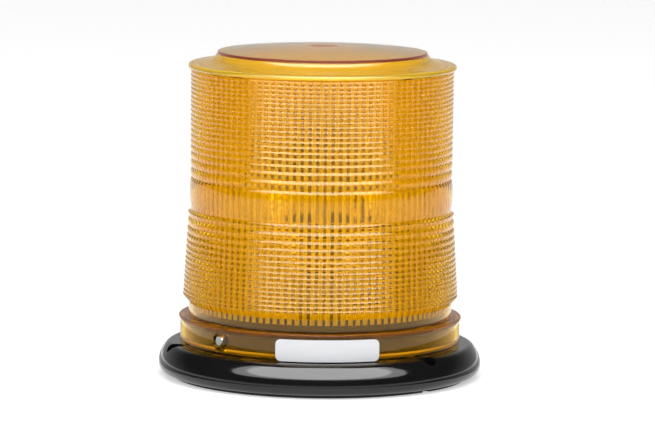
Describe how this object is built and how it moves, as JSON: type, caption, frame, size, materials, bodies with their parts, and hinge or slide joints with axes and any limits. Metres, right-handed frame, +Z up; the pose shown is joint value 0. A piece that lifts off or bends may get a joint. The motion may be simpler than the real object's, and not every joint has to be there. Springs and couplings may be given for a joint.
{
  "type": "rotating beacon",
  "caption": "Amber high-dome rotating beacon: ribbed lens on a black round base, lamp on a hollow post, geared parabolic reflector turning round it.",
  "frame": {"origin": "centre of the mounting face, at the underside of the gasket", "axes": "+Z up the dome's axis; at rest the reflector looks along -Y"},
  "size_m": [0.194, 0.194, 0.1987],
  "materials": {
    "black_base": "moulded, semi-gloss",
    "black_rubber": "matt",
    "amber_lens": "clear amber, polished",
    "plated_screw": "bright zinc",
    "brass_insert": "satin",
    "zinc_plate": "satin zinc",
    "post_steel": "ground",
    "nylon_washer": "satin",
    "bronze_bush": "sintered, matt",
    "spring_steel": "dark, oiled",
    "white_acetal": "satin",
    "chrome_reflector": "vacuum plated",
    "motor_can": "nickel plated",
    "lamp_insulator": "moulded phenolic, matt",
    "lamp_metal": "nickel plated",
    "lamp_glass": "clear",
    "filament_wire": "tungsten, matt",
    "grey_terminal": "satin",
    "red_wire": "satin insulation",
    "black_wire": "satin insulation"
  },
  "bodies": {
    "root": {"base_housing": "black_base", "base_gasket": "black_rubber", "dome_lens": "amber_lens", "dome_seal": "black_rubber", "dome_screws": "plated_screw", "screw_inserts": "brass_insert", "chassis_plate": "zinc_plate", "chassis_screws": "plated_screw", "center_post": "post_steel", "post_nut": "plated_screw", "thrust_washer": "nylon_washer", "rotor_clip": "spring_steel", "idler_pin": "post_steel", "idler_clip": "spring_steel", "motor_body": "motor_can", "motor_screws": "plated_screw", "lamp_holder": "lamp_insulator", "lamp_cap": "lamp_metal", "lamp_glass": "lamp_glass", "lamp_filament": "filament_wire", "terminal_block": "grey_terminal", "terminal_screws": "brass_insert", "cable_grommet": "black_rubber", "lamp_leads": "red_wire", "motor_leads": "black_wire"},
    "rotor": {"rotor_bearing": "bronze_bush", "rotor_gear": "white_acetal", "reflector_carrier": "zinc_plate", "carrier_screws": "plated_screw", "reflector": "chrome_reflector", "reflector_screws": "plated_screw"},
    "idler": {"idler_gear": "white_acetal"},
    "motor_rotor": {"motor_shaft": "post_steel", "motor_pinion": "brass_insert"}
  },
  "joints": [
    {"name": "rotor_turn", "type": "hinge", "parent": "root", "child": "rotor", "pos_m": [0, 0, 0.05], "axis": [0, 0, 1], "continuous": true},
    {"name": "idler_turn", "type": "hinge", "parent": "root", "child": "idler", "pos_m": [-0.03118, 0.018, 0.046], "axis": [0, 0, 1], "continuous": true},
    {"name": "motor_turn", "type": "hinge", "parent": "root", "child": "motor_rotor", "pos_m": [-0.0466, -0.00038, 0.046], "axis": [0, 0, 1], "continuous": true}
  ],
  "couplings": [
    {"joint": "idler_turn", "follows": "rotor_turn", "ratio": -5},
    {"joint": "motor_turn", "follows": "rotor_turn", "ratio": 20}
  ]
}
